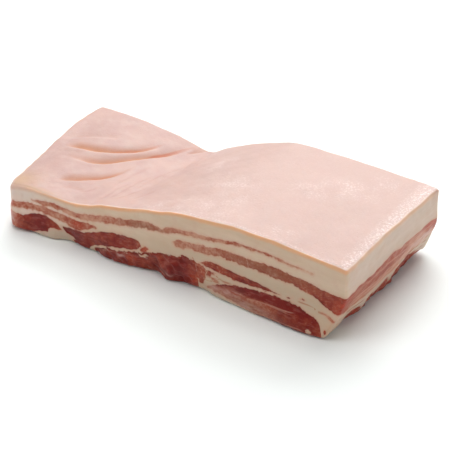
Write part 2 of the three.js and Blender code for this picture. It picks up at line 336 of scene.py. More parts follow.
# Thin lines of lean in the fat and of fat in the lean, as (x, z) stations on the front cut
LEAN_LINES = [
    [(102, 22), (110, 21.4), (115, 20.8), (119, 20.1), (126, 18.8)],
    [(-24, 16.4), (-20, 15.4), (-14, 18.6)],
    [(28, 20.6), (36, 19.4), (44, 17.8)],
    [(26, 15), (34, 15.6), (42, 15.2)],
    [(28, 12), (36, 13.4), (44, 16), (54, 18.6)],
]
RIGHT_FAT_LINES = [
    [(-60, 25), (-50, 24.4), (-40, 25.4), (-25, 24.2), (-8, 24.1), (8, 24.8)],
    [(-52, 20.6), (-40, 21), (-25, 20.6), (-8, 20.4), (6, 21.6)],
    [(-20, 31.6), (-6, 32), (10, 30.6), (24, 28.4)],
    [(4, 22.2), (16, 25.4), (30, 29.6), (44, 32), (58, 31.4)],
    [(24, 26.6), (38, 27.2), (50, 27), (60, 26.6)],
]
RIGHT_LEAN_LINES = [
    [(22, 20.6), (38, 20), (50, 18), (60, 16.2)],
    [(30, 15), (46, 13), (58, 11.2)],
    [(-50, 12.8), (-40, 13.4), (-26, 13.6)],
    [(14, 35.4), (28, 35.4), (40, 34.8), (54, 35.2), (66, 31.9)],
]
FAT_LINES = [
    [(36, 5), (44, 3.8), (54, 3), (64, 2.5), (74, 2.4), (90, 2.5), (104, 2.8), (111, 3)],
    [(62, 10), (70, 11.6), (77, 12.2), (85, 12.4), (95, 12.5), (103, 13.4)],
    [(-62, 5), (-54, 8.4), (-47, 10)],
]
# Seams of fat that cross a streak, as x, z at the top, x, z at the bottom and half width
SEAMS = [
    (14.3, 38.6, 14.8, 32, 0.5), (37, 42.4, 38.6, 34.6, 0.3), (62.7, 42.6, 64.4, 35, 0.3),
    (104, 41.6, 106, 33.6, 0.15), (23, 47.8, 23.4, 44, 0.3), (21.6, 26, 22, 17, 0.4),
]
LINES = {"lean_line": (LEAN_LINES, RIGHT_LEAN_LINES), "fat_line": (FAT_LINES, RIGHT_FAT_LINES)}
LINE_FADE = (0, 4)          # mm over which a line fades at its ends
LINE_REACH = (1.5, 0.9)     # distance from a line over which its strength is let go

# Ellipsoids: centre x, y, z, then half sizes along x, y, z
FAT_FLECKS = [
    (-22.8, -66, 13, 2.4, 5, 0.9), (114.6, -70, 3.6, 2.3, 5, 1.7),
    (-88.1, -63, 4.6, 2.6, 6, 1.6),
]
LEAN_FLECKS = [
    (96.5, -66, 22.4, 1.1, 4, 0.8), (106.6, -66, 24.5, 1.1, 4, 0.9), (126, -67, 6.6, 0.9, 4, 1.8),
    (33, -66, 20.6, 2.2, 4, 0.6), (35, -66, 15.8, 2.4, 4, 0.6), (31.6, -66, 18, 1.6, 4, 0.5),
]
# Silver skin over the lean
FILMS = [
    (-42, -67, 9.4, 4, 9, 1.6), (-23, -67, 12, 5, 9, 1.4), (-1, -69, 5.5, 5, 9, 1),
    (50, -68, 9.5, 7, 9, 2.6), (66, -68, 5, 14, 9, 2.4), (55, -68, 10.8, 6, 9, 1.4),
    (44, -68, 8, 6, 9, 2.4), (36, -67, 8, 6, 9, 2.6), (132, 42, 27, 14, 14, 5),
    (138, 52, 23, 12, 12, 4), (128, 56, 16, 14, 12, 4), (-139, -66, 9, 5, 9, 6),
]
# Where the moist skin is glossier and painted paler with highlights, as glints, and where it is tan
GLOSS_AND_PAINTED_GLINTS = [
    (16, -8, 58, 22, 16, 30), (32, -31, 60, 15, 12, 30), (12, -44, 58, 18, 11, 30),
    (92, 24, 62, 22, 16, 30), (72, 6, 62, 16, 11, 30), (84, -53, 62, 13, 8, 30),
    (-14, 22, 56, 10, 14, 30), (112, 46, 60, 14, 10, 30), (-8, -56, 54, 20, 10, 30),
    (24, -52, 60, 24, 10, 30),
]
TAN_SPOTS = [(-140, -55, 35, 17, 12, 9), (-118, -64, 36, 20, 4, 5)]
# Where the lean is a warmer, orange red, and where it is browner
WARM_SPOTS = [
    (-142, -62, 10, 7, 12, 14), (-99, -68, 12.4, 4, 9, 3.4), (-32, -67, 9.6, 5, 9, 2.6),
    (137, -66, 29, 6, 9, 8), (19, -66, 8, 4, 9, 6), (140, 58, 33.5, 12, 16, 3.6),
    (-20, -66, 19, 4, 8, 3), (-80, -66, 21, 5, 8, 2.4), (-141, -62, 20, 5, 10, 4),
    (131, -64, 7, 7, 10, 7), (141, 66, 28, 8, 8, 6),
]
BROWN_SPOTS = [(64, -68, 4, 26, 10, 7), (78, -66, 38, 42, 10, 7), (-20, -66, 38, 24, 8, 6)]
SPOTS = {"film": FILMS, "warm": WARM_SPOTS, "tan": TAN_SPOTS, "brown": BROWN_SPOTS}
FLECK_TONE = 0.55

# The thick half of the skin grows glossy, and paler in colour: partly its own tone, partly painted
# sheen
MOIST_AND_SHEEN_HALF = (-60, 30)      # x over which the skin grows moist
THIN_END = (-60, -130)      # x over which the fat and the rind grow pale, towards the thin end
# A painted highlight pales the skin's front edge
EDGE_HIGHLIGHT_RAMP = (-125, -70)     # x over which the skin's front edge grows pale
HIDDEN_PART = (0.8, 0.97)   # share of the half size over which the left and the back cut begin
# The speckled shine makes the skin glossier and is also painted into its colour as whitish
# highlights
SHINE_STRIP = (126, 138)    # x over which the skin's speckled shine grows, before the right cut
STRIP_SLANT = 0.02          # how far that strip turns away from the right cut towards the back
SHINE_EDGE = (7, 2)         # distance from the front cut over which the shine grows there
STRIP_SHINE = 0.74          # the shine on the strip, along the front edge, where the skin glints,
EDGE_SHINE = 0.35           # and over the rest of the thick half
GLINT_SHINE = 0.32
SKIN_SHINE = 0.05
GLINT_RIPPLES = (0.3, 13, 27)   # unevenness of the glints: height, wavelength, seed
GLINT_MEAN = 0.8
GLINT_RANGE = (0.2, 1.3)

# ---------- curves and fields
def ease(limits, value):
    """0 below the first limit, 1 above the second, with a smooth cubic step between them."""
    t = np.clip((value - limits[0]) / (limits[1] - limits[0]), 0, 1)
    return t * t * (3 - 2 * t)


def grow_and_fade(shares, along):
    """Smooth steps up from 0 and down to 1 of a run, over the given shares of it."""
    return ease((0, shares[0]), along) * ease((0, shares[1]), 1 - along)


def bell(distance, half_width):
    """exp(-(distance / half width) squared)."""
    return np.exp(-((distance / half_width) ** 2))


def curve_through(stations):
    """Cubic Hermite curve through (position, value) stations, with each slope taken from the two
    neighbours, and flat beyond the first and the last."""
    at, value = np.array(stations, float).T
    before = np.maximum(np.arange(len(at)) - 1, 0)
    after = np.minimum(np.arange(len(at)) + 1, len(at) - 1)
    slope = (value[after] - value[before]) / (at[after] - at[before])

    def curve(position):
        p = np.clip(position, at[0], at[-1])
        i = np.clip(np.searchsorted(at, p) - 1, 0, len(at) - 2)
        span = at[i + 1] - at[i]
        t = (p - at[i]) / span
        s = 1 - t
        return (s * s * (1 + 2 * t) * value[i] + t * t * (1 + 2 * s) * value[i + 1]
                + s * s * t * span * slope[i] - t * t * s * span * slope[i + 1])

    return curve


def ripples(place, wavelength, seed, waves=12):
    """Smooth noise of height about 1: a sum of plane waves of about the given wavelength, in seeded
    directions."""
    draw = np.random.default_rng(seed)
    heading = draw.normal(size=(waves, 3))
    heading /= np.linalg.norm(heading, axis=1, keepdims=True)
    turn = 2 * np.pi / (wavelength * draw.uniform(0.7, 1.4, waves))
    phase = draw.uniform(0, 2 * np.pi, waves)
    return np.sin(place @ (heading * turn[:, None]).T + phase).sum(axis=1) * math.sqrt(2 / waves)


front_skin, back_skin = curve_through(FRONT_SKIN), curve_through(BACK_SKIN)
edge_rise = curve_through(EDGE_RISE)
left_end, right_end = curve_through(LEFT_END), curve_through(RIGHT_END)
lean_in, front_foot = curve_through(LEAN_IN), curve_through(FRONT_FOOT)


def fold_distance(stations, taper, x, y):
    """Signed distance from a fold's valley, the curve y(x), and the fold's strength, which fades
    at both its ends by smooth steps."""
    valley = curve_through(stations)
    along = (x - stations[0][0]) / (stations[-1][0] - stations[0][0])
    run = valley(x + 0.5) - valley(x - 0.5)
    return (y - valley(x)) / np.hypot(1, run), grow_and_fade(taper, along)


def fold_relief(stations, depth, taper, x, y):
    """A valley, gentle on its far side and steep on its near side, and a low ridge in front of it,
    each a bell of the distance from the valley."""
    distance, strength = fold_distance(stations, taper, x, y)
    width = np.where(distance > 0, FOLD_FAR_WIDTH, FOLD_NEAR_WIDTH)
    ridge = FOLD_RIDGE * bell(distance + FOLD_RIDGE_OFFSET, FOLD_RIDGE_WIDTH)
    return depth * strength * (ridge - bell(distance, width))


def front_height(x, y):
    """The front profile, plus the rise of its uneven edge times a smooth step of y."""
    return front_skin(x) + edge_rise(x) * ease(EDGE_REACH, y)


def skin_height(x, y):
    """The front and the back profile mixed across the width, plus a crown that is a parabola over
    the thick half, plus the folds."""
    across = y / WIDTH + 0.5
    crown = CROWN * 4 * across * (1 - across) * ease(CROWN_RAMP, x)
    folds = sum(fold_relief(*fold, x, y) for fold in FOLDS)
    return front_height(x, y) * (1 - across) + back_skin(x) * across + crown + folds


def underside_height(x, y):
    """Flat, but for the back right corner, which curls up by a product of two smooth steps."""
    return CURL_HEIGHT * ease(CURL_X, x) * ease(CURL_Y, y)


def front_outset(x, z):
    """How far the front cut stands out: the foot's outset, fading with height, plus one bell in x
    times one bell in z for each swelling muscle."""
    outset = front_foot(x) * (1 - ease((0, FOOT_HEIGHT), z))
    for at_x, at_z, half_length, half_height, swell in SWELLS:
        outset = outset + swell * bell(x - at_x, half_length) * bell(z - at_z, half_height)
    return outset


def right_set_back(y, z):
    """How far the right cut stands back: nothing above its start, then growing to the foot."""
    start = LEAN_IN_HEIGHT[0] + (LEAN_IN_HEIGHT[1] - LEAN_IN_HEIGHT[0]) * (y / WIDTH + 0.5)
    return lean_in(y) * (1 - np.clip(z / start, 0, 1)) ** LEAN_IN_POWER


def wave(along):
    """Gentle unevenness of a hand-cut side: a sum of sines."""
    return sum(WAVE_HEIGHT * np.sin(2 * np.pi * along / length) for length in WAVE_LENGTHS)


# ---------- the slab's surface
def crowd(value, amount):
    """Draws lattice lines from -1 to 1 together near both ends: a mix of value and its sine."""
    return (1 - amount) * value + amount * np.sin(value * np.pi / 2)


def box_lattice(cells):
    """The surface of a cube of cells, as unique points from -1 to 1 and quads facing out. Each
    side is a grid of two of the three whole-number coordinates; equal coordinates are merged."""
    count = np.array(cells) + 1
    corner_keys, quads = [], []
    for axis in range(3):
        u, v = (axis + 1) % 3, (axis + 2) % 3
        for end in (0, cells[axis]):
            grid_u, grid_v = np.meshgrid(np.arange(count[u]), np.arange(count[v]), indexing="ij")
            place = [None] * 3
            place[u], place[v], place[axis] = grid_u, grid_v, np.full_like(grid_u, end)
            key = (place[0] * count[1] + place[1]) * count[2] + place[2]
            ring = [key[:-1, :-1], key[1:, :-1], key[1:, 1:], key[:-1, 1:]]
            corner_keys.append(key.ravel())
            quads.append(np.stack(ring if end else ring[::-1], axis=-1).reshape(-1, 4))
    keys = np.unique(np.concatenate(corner_keys))
    i, rest = np.divmod(keys, count[1] * count[2])
    j, k = np.divmod(rest, count[2])
    points = np.stack([i, j, k], axis=1) / np.array(cells) * 2 - 1
    return points, np.searchsorted(keys, np.concatenate(quads))


def round_block(points, half):
    """Each point goes to the nearest point of a core block and out again by the edge radius, which
    is small at the skin, larger at the foot and larger again at the front left corner."""
    soft = ease(FOOT_SOFT_PART, points[:, 2] / half[2])
    radius = FOOT_RADIUS * (1 - soft) + SKIN_EDGE_RADIUS * soft
    left = ease(LEFT_SOFT_PART, points[:, 0] / half[0])
    front = ease(FRONT_SOFT_PART, points[:, 1] / half[1])
    radius = (radius + LEFT_SOFTNESS * left * front)[:, None]
    core = np.clip(points, radius - half, half - radius)
    out = points - core
    return core + out / np.linalg.norm(out, axis=1, keepdims=True) * radius


def warp(points, half):
    """From the rounded block to the slab: places, depths under the skin, and each point's shares of
    the half length and of the half width."""
    along, across = points[:, 0] / half[0], points[:, 1] / half[1]
    up = points[:, 2] / half[2] / 2 + 0.5
    y = points[:, 1].copy()
    x = left_end(y) + (right_end(y) - left_end(y)) * (along / 2 + 0.5)
    height = up * skin_height(x, y)
    x = x - right_set_back(y, height) * ease(LEAN_IN_REACH, along)
    x = x + wave(y + height) * along ** SIDE_POWER
    y = y - front_outset(x, height) * ease(FOOT_REACH, -across)
    y = y + wave(x) * across ** SIDE_POWER
    skin, under = skin_height(x, y), underside_height(x, y)
    place = np.stack([x, y, under + (skin - under) * up], axis=1)
    return place, (1 - up) * (skin - under), along, across


def muscle_place(place, depth):
    """Where each place lies in the muscles' own measure: x follows their slant, z is the share of
    the slab's thickness times that of the front cut, and both wander inside by long ripples. Also
    how far the place has gone over to the right cut, from 0 to 1."""
    x, y, z = place.T
    across = np.clip(y / WIDTH + 0.5, 0, 1)
    corner = ease(CORNER_X, x) * ease(CORNER_Y, y)
    inside = ease(DRIFT_WIDTH, across) * (1 - corner)
    along = x + MUSCLE_SLANT * across + DRIFT[0] * inside * ripples(place, DRIFT_LENGTH, 11)
    thick = z + depth
    up = z * (front_height(along, y) * (1 - corner) + thick * corner) / thick
    up = up + DRIFT[1] * inside * ripples(place, DRIFT_LENGTH, 12) * ease(DRIFT_DEPTH, depth)
    return along, up, corner


def lean_fields(place, depth):
    """Fields of the muscles. "lean" is how deep each place lies in lean, in mm, negative in fat:
    in a sheet the least distance to its two outlines and its two ends, over all sheets the most,
    and less the fat flecks. "tone" and "ragged" are those of the sheet that counts."""
    y = place[:, 1]
    along, up, corner = muscle_place(place, depth)
    lean = np.full(len(y), -FAR)
    tone = np.full(len(y), 0.3)
    ragged = np.full(len(y), 0.5)
    for name, streak in STREAKS.items():
        curves = {key: curve_through(streak[key])(along) for key in ("top", "bottom", "tone")}
        curves["low_tone"] = curve_through(streak.get("low_tone", streak["tone"]))(along)
        curves["ragged"] = streak["ragged"] + 0 * along
        curves["middle"] = (curves["top"] + curves["bottom"]) / 2
        if "middle" in streak:
            curves["middle"] = curve_through(streak["middle"])(along)
        first, last = streak["top"][0][0], streak["top"][-1][0]
        ends = np.minimum(along - first, last - along)
        if name in RIGHT_SHEETS:
            for key, stations in RIGHT_SHEETS[name].items():
                curves[key] = curves[key] * (1 - corner) + curve_through(stations)(y) * corner
            ends = ends + FAR * corner
        if first < THROUGH_LEFT:
            ends = ends + FAR * ease(LEFT_RUN, place[:, 0])
        inside = np.minimum(np.minimum(curves["top"] - up, up - curves["bottom"]), ends)
        share = ease((-TONE_CHANGE, TONE_CHANGE), up - curves["middle"])
        better = inside > lean
        lean = np.where(better, inside, lean)
        tone = np.where(better, curves["low_tone"] * (1 - share) + curves["tone"] * share, tone)
        ragged = np.where(better, curves["ragged"], ragged)
    for fleck in LEAN_FLECKS:
        distance = ellipsoid(place, fleck)
        lean = np.maximum(lean, fleck[5] * (1 - distance))
        tone = np.maximum(tone, FLECK_TONE * (distance < 2))
    for fleck in FAT_FLECKS:
        lean = np.minimum(lean, fleck[5] * (ellipsoid(place, fleck) - 1))
    return lean, tone, ragged


def ellipsoid(place, shape):
    """Distance from an ellipsoid's centre as a share of its size in that direction."""
    return np.linalg.norm((place - shape[:3]) / shape[3:], axis=1)


def nearest_line(lines, reach):
    """The signed distance and strength of the nearest line. The strength goes down to nothing
    where the next line may be as near, so that no sign change shows."""
    nearest, strength = lines[0]
    for distance, power in lines[1:]:
        closer = np.abs(distance) < np.abs(nearest)
        nearest = np.where(closer, distance, nearest)
        strength = np.where(closer, power, strength)
    return nearest, strength * ease(reach, np.abs(nearest))


def line_fields(place, depth, lines, right_lines):
    """Signed distance in z to the nearest of some lines, and its strength, which fades over the
    line's two ends and where a place has gone over to the other cut's muscles."""
    along, up, corner = muscle_place(place, depth)
    found = []
    for family, run, here in ((lines, along, 1 - corner), (right_lines, place[:, 1], corner)):
        for stations in family:
            inside = np.minimum(run - stations[0][0], stations[-1][0] - run)
            found.append((up - curve_through(stations)(run), ease(LINE_FADE, inside) * here))
    return nearest_line(found, LINE_REACH)


def spot_field(place, spots):
    """1 inside the spots and 0 far from them: the greatest of their bells."""
    return np.max([bell(ellipsoid(place, spot), 1.0) for spot in spots], axis=0)


def fold_shade(x, y):
    """How far the folds' painted shade, a warmer and darker colour, shows, from 0 to about 1: a
    bell of the distance from each valley, wide on its far side and less so along the fold, times
    the fold's own share of that shade."""
    tint = np.zeros(len(x))
    for (stations, _, taper), (first, last) in zip(FOLDS, FOLD_SHADES):
        distance, strength = fold_distance(stations, taper, x, y)
        share = np.clip((x - stations[0][0]) / (stations[-1][0] - stations[0][0]), 0, 1)
        far = FOLD_SHADE_FAR[0] + (FOLD_SHADE_FAR[1] - FOLD_SHADE_FAR[0]) * share
        width = np.where(distance > 0, far, FOLD_SHADE_NEAR)
        shown = first + (last - first) * share
        tint = np.maximum(tint, bell(distance, width) * strength * shown)
    return tint


def moisture_and_sheen(x):
    """The skin's moisture, full over the thick half. The same share makes its colour paler, partly
    its own tone and partly painted sheen.
    """
    return ease(MOIST_AND_SHEEN_HALF, x)


def speckled_shine(place):
    """How much the skin shines in specks: on the strip that rolls off to the right cut, along the
    front edge of the thick half, where it glints, and a little elsewhere. This makes the skin
    glossier and is also painted into its colour as whitish highlights."""
    x, y = place[:, 0], place[:, 1]
    strip = STRIP_SHINE * ease(SHINE_STRIP, x + STRIP_SLANT * y)
    edge = EDGE_SHINE * ease(SHINE_EDGE, y + WIDTH / 2) * moisture_and_sheen(x)
    height, wavelength, seed = GLINT_RIPPLES
    uneven = np.clip(GLINT_MEAN + height * ripples(place, wavelength, seed), *GLINT_RANGE)
    glints = GLINT_SHINE * spot_field(place, GLOSS_AND_PAINTED_GLINTS) * uneven
    return np.max([strip, edge, glints, SKIN_SHINE * moisture_and_sheen(x)], axis=0)


def seam_field(place, depth):
    """How deep each place lies in a seam, in mm, negative outside: the half width less the
    distance from the seam's line, over all seams the most."""
    along, up, corner = muscle_place(place, depth)
    deepest = np.full(len(up), -9.0)
    for x0, z0, x1, z1, half_width in SEAMS:
        share = (up - z1) / (z0 - z1)
        outside = np.maximum(np.abs(share - 0.5) - 0.5, 0) * (z0 - z1)
        distance = np.abs(along - (x1 + (x0 - x1) * np.clip(share, 0, 1)))
        deepest = np.maximum(deepest, half_width - np.hypot(distance, outside) - 9 * corner)
    return deepest


def tuck_shadow_fields(x, y):
    """Signed distance in mm to the nearest line of painted shadow where a fold closes on itself,
    and its strength, which grows and fades.
    """
    found = []
    for (stations, _, fold_taper), first, last, shown, taper in TUCK_SHADOWS:
        distance = fold_distance(stations, fold_taper, x, y)[0]
        strength = shown * grow_and_fade(taper, (x - first) / (last - first))
        found.append((np.where((x < first) | (x > last), FAR, distance), strength))
    return nearest_line(found, TUCK_SHADOW_REACH)


def outward(place, quads):
    """Unit normals of the lattice: the sum of the normals of the quads round each point."""
    a, b, c, d = (place[quads[:, i]] for i in range(4))
    face = np.cross(c - a, d - b)
    normal = np.zeros_like(place)
    for i in range(4):
        np.add.at(normal, quads[:, i], face)
    return normal / np.linalg.norm(normal, axis=1, keepdims=True)


def crease_relief(x, y):
    """Creases of the skin: each a bell of the distance from a curve x(y), fading at its ends."""
    relief = np.zeros(len(x))
    for stations, depth in CREASES:
        along = (y - stations[0][0]) / (stations[-1][0] - stations[0][0])
        strength = depth * grow_and_fade(CREASE_TAPER, along)
        relief = relief - strength * bell(x - curve_through(stations)(y), CREASE_WIDTH)
    return relief


def small_relief(place, normal, fields):
    """Low relief in mm along the normal. The skin creases and swells, only downwards. On the cuts,
    fat stands a little proud and loose lean is lumpy. Nothing stands out below."""
    skin = ease((0.5, 0.9), normal[:, 2]) * ease((1.2, 0.4), fields["depth"])
    below = ease((-0.5, -0.9), normal[:, 2])
    cut = 1 - skin - below
    wave_of = {name: height * ripples(place * (1, stretch, 1), length, seed)
               for name, (height, length, seed, stretch) in SMALL_RIPPLES.items()}
    swells = wave_of["skin swells"] - SMALL_RIPPLES["skin swells"][0]
    creases = crease_relief(place[:, 0], place[:, 1])
    on_skin = swells + wave_of["skin"] + wave_of["fine skin"] + creases
    in_lean = ease((-0.4, 0.6), fields["lean"])
    loose = ease(LOOSE_RAGGED, fields["ragged"]) * in_lean
    soft = wave_of["cut"]
    lumps = loose * (wave_of["loose lean"] + 2 * soft - LOOSE_LEAN_SUNK)
    on_cut = soft - LEAN_SUNK * in_lean + lumps + fields["film"] * wave_of["film"]
    under = -UNDER_LEAN_SUNK * (1 + 5 * soft) * in_lean
    return skin * on_skin + cut * on_cut + below * under


def slab_surface():
    """Places in metres in the part's frame, quads, and the fields that the material reads."""
    half = np.array([LENGTH, WIDTH, BLOCK_HEIGHT]) / 2
    points, quads = box_lattice(CELLS)
    crowded = np.stack([crowd(points[:, i], CROWDING[i]) for i in range(3)], axis=1)
    place, depth, along, across = warp(round_block(crowded * half, half), half)
    x, y = place[:, 0], place[:, 1]
    lean, tone, ragged = lean_fields(place, depth)
    fields = {
        "depth": depth, "lean": lean, "tone": tone, "ragged": ragged,
        "seam": seam_field(place, depth), "fold": fold_shade(x, y),
        "crease_shade": -crease_relief(x, y) / CREASE_SHADE_DEPTH,
        "tone_and_painted_sheen": moisture_and_sheen(x), "gloss_and_painted_highlight": speckled_shine(place), "thin_end": ease(THIN_END, x),
        "hidden": np.maximum(ease(HIDDEN_PART, -along), ease(HIDDEN_PART, across)),
        "painted_edge_highlight": ease(EDGE_HIGHLIGHT_RAMP, x) * (1 - ease(HIDDEN_PART, across)),
        "right": ease(CORNER_X, x) * ease(RIGHT_CUT_Y, y),
    }
    lines = {name: line_fields(place, depth, *families) for name, families in LINES.items()}
    lines["tuck_shadow"] = tuck_shadow_fields(x, y)
    for name, (distance, strength) in lines.items():
        fields[name], fields[name + "_power"] = distance, strength
    for name, spots in SPOTS.items():
        fields[name] = spot_field(place, spots)
    normal = outward(place, quads)
    place = place + normal * small_relief(place, normal, fields)[:, None]
    low, high = place.min(axis=0), place.max(axis=0)
    cad_box = np.array(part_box(NODE)) / MM
    shift = (cad_box[0] + cad_box[1] - low - high) / 2
    shift[2] = cad_box[0][2] - low[2]
    return (place + shift) * MM, quads, fields


def mesh_object(name, places, quads, fields):
    """A smooth-shaded mesh from arrays, with one float attribute for each field."""
    mesh = bpy.data.meshes.new(name)
    mesh.from_pydata(places, [], quads)
    for field, values in fields.items():
        attribute = mesh.attributes.new(field, "FLOAT", "POINT")
        attribute.data.foreach_set("value", values.astype(np.float32))
    mesh.polygons.foreach_set("use_smooth", np.ones(len(mesh.polygons), bool))
    mesh.update()
    piece = bpy.data.objects.new(name, mesh)
    bpy.context.scene.collection.objects.link(piece)
    return piece


# ---------- materials
BUNDLE_SIZE = 1.5               # bundles of fibres, in mm
PORE_SPACING = 2.4
FAINT_LEAN = 0.7                # how far the palest lean gives way to fat
FAT_ROUGHNESS = 0.46            # waxy fat and matt skin
LEAN_ROUGHNESS = 0.34           # wet
SHINE_ROUGHNESS = 0.28
MEAT_IOR = 1.38                 # water with protein and fat in it


def linear(hex_colour):
    """sRGB hex to linear red, green, blue and an alpha of 1."""
    parts = [int(hex_colour[i:i + 2], 16) / 255 for i in (1, 3, 5)]
    return (*[p / 12.92 if p <= 0.04045 else ((p + 0.055) / 1.055) ** 2.4 for p in parts], 1.0)


def raw_pork():
    """Raw pork, fresh cut. Scalded skin: matt, slightly translucent, pitted with pores. Firm back
    fat: waxy, warm white. Lean: wet, in bundles of fibres that run across the slab's width, so the
    front cut shows their ends as grain and the right cut shows their length as streaks."""
    material = bpy.data.materials.new("raw_pork")
    material.use_nodes = True
    tree = material.node_tree
    tree.nodes.clear()

    def node(kind, links=None, **settings):
        """Adds a node. Settings are its own properties; links maps an input to its value or to the
        output socket that feeds it."""
        added = tree.nodes.new(kind)
        for name, value in settings.items():
            setattr(added, name, value)
        for socket, source in (links or {}).items():
            if isinstance(source, bpy.types.NodeSocket):
                tree.links.new(source, added.inputs[socket])
            else:
                added.inputs[socket].default_value = source
        return added

    def field(name):
        return node("ShaderNodeAttribute", attribute_name=name).outputs["Fac"]

    def calc(operation, *values):
        return node("ShaderNodeMath", dict(enumerate(values)), operation=operation).outputs[0]

    def times(product, *others):
        for other in others:
            product = calc("MULTIPLY", product, other)
        return product

    def step(value, low, high):
        links = {"Value": value, "From Min": low, "From Max": high}
        return node("ShaderNodeMapRange", links, interpolation_type="SMOOTHSTEP").outputs[0]

    def mix(amount, a, b):
        return node("ShaderNodeMix", {0: amount, 6: a, 7: b}, data_type="RGBA").outputs[2]

    def blend(amount, a, b):
        """The same for plain numbers."""
        return node("ShaderNodeMix", {0: amount, 2: a, 3: b}).outputs[0]

    def tinted(base, *layers):
        """A colour with layers mixed in, one after the other. Each layer is its own colour and the
        amounts whose product says how far it shows."""
        for colour, *amounts in layers:
            base = mix(times(*amounts), base, linear(colour))
        return base

    place = node("ShaderNodeTexCoord").outputs["Object"]

    def scaled(size_mm, stretch):
        scale = tuple(s / (size_mm * MM) for s in stretch)
        return node("ShaderNodeMapping", {"Vector": place, "Scale": scale}).outputs[0]

    def noise(size_mm, detail=2, stretch=(1, 1, 1), roughness=0.5):
        links = {"Vector": scaled(size_mm, stretch), "Scale": 1, "Detail": detail,
                 "Roughness": roughness}
        return node("ShaderNodeTexNoise", links).outputs["Fac"]

    def around(value, amount):
        """A noise value, moved to lie around 0 and made larger or smaller."""
        return times(calc("SUBTRACT", value, 0.5), amount)

    # --- where the lean is
    wander = around(noise(4.6, 2, (1, 0.2, 1)), 6)
    bites = around(noise(1.9, 2, (1, 0.25, 1), 0.6), 2.8)
    lean = calc("MULTIPLY_ADD", calc("ADD", wander, bites), field("ragged"), field("lean"))
    is_lean = step(lean, -0.5, 0.5)
    seam = step(calc("ADD", field("seam"), around(noise(3), 1.6)), -0.4, 0.4)

    def line(name, half_width, gap_size, sway):
        """How much of a line shows: a thin, swaying one, broken by gaps."""
        distance = calc("ABSOLUTE", calc("ADD", field(name), around(noise(9), sway)))
        broken = step(noise(gap_size, 2, (1, 0.3, 1)), 0.15, 0.4)
        return times(step(distance, half_width, 0.25), field(name + "_power"), broken)

    dark_line = line("lean_line", 1, 12, 0.4)
    pale_line = line("fat_line", 0.8, 8, 0.7)

    # --- lean: bundles of fibres, with threads of fat along them
    bundle = {"Vector": scaled(BUNDLE_SIZE, (1, 0.1, 1)), "Scale": 1}
    bundles = node("ShaderNodeTexVoronoi", bundle)
    walls = node("ShaderNodeTexVoronoi", bundle, feature="DISTANCE_TO_EDGE")
    split = node("ShaderNodeSeparateColor", {"Color": bundles.outputs["Color"]}).outputs["Red"]
    tone = calc("ADD", field("tone"), around(split, 0.12))
    tone = calc("ADD", tone, around(noise(5, 2, (1, 0.15, 1)), 0.8))
    tone = calc("ADD", tone, around(noise(16, 1, (1, 0.3, 1)), 0.4))
    deep = step(tone, 0.45, 0.75)
    tone = calc("MULTIPLY_ADD", step(lean, 1.5, 0.2), times(deep, 0.2), tone)
    speck = step(noise(1.7, 2, (1, 0.3, 1), 0.6), 0.5, 0.68)
    threads = step(noise(2.6, 3, (1, 0.2, 1)), 0.55, 0.75)
    streaks = step(noise(2.2, 3, (0.35, 0.3, 1), 0.6), 0.5, 0.64)
    strands = step(noise(3.6, 3, (0.3, 0.3, 1), 0.6), 0.5, 0.36)
    fibres = step(noise(3.2, 4, (0.25, 0.4, 1), 0.65), 0.32, 0.62)
    flesh = tinted(
        linear("#c4886e"),                                  # pale lean, then red, then deep red
        ("#a2462e", step(tone, 0, 0.5)),
        ("#7b150d", step(tone, 0.4, 1)),
        ("#b8452a", field("warm"), 0.7),
        ("#dcab90", calc("MAXIMUM", speck, threads), step(tone, 0.85, 0.3), 0.28),  # marbling
        # painted highlights: glints on the wet lean
        ("#c07a6e", streaks, deep, 0.2),                    # wet glints
        ("#5e1610", strands, deep, 0.45),
        ("#8a5941", field("brown"), 0.55),
        ("#d0aba0", field("film"), fibres, 0.75),           # silver skin
        ("#cf9f8a", pale_line, 0.42),
        ("#d0a38c", seam, 0.5),
        ("#a8452c", dark_line, 0.5),
    )

    # --- fat, laid down in layers parallel to the skin, and stained by the lean beside it
    layers = step(noise(7, 4, (0.2, 0.2, 1), 0.6), 0.3, 0.7)
    front_fat = tinted(linear("#dbc1aa"), ("#d4b89e", layers), ("#e0cabf", field("thin_end"), 0.8))
    right_fat = tinted(linear("#d6beae"), ("#d0b6a4", layers))
    fat = tinted(
        mix(field("right"), front_fat, right_fat),
        ("#c2ab92", step(field("depth"), 14, 34), 0.6),     # greyer between the muscles
        ("#cf9880", calc("ADD", step(lean, -2.4, -0.4), step(lean, -1, 0)), 0.3),
        ("#d08c60", field("warm"), 0.3),
        ("#cfa890", step(noise(6, 3, (1, 0.4, 1)), 0.5, 0.75), 0.3),
        ("#ad5a3c", dark_line, 0.8),
    )
    flesh = mix(times(step(tone, 0.2, -0.25), FAINT_LEAN), flesh, fat)
    cut = mix(is_lean, fat, flesh)

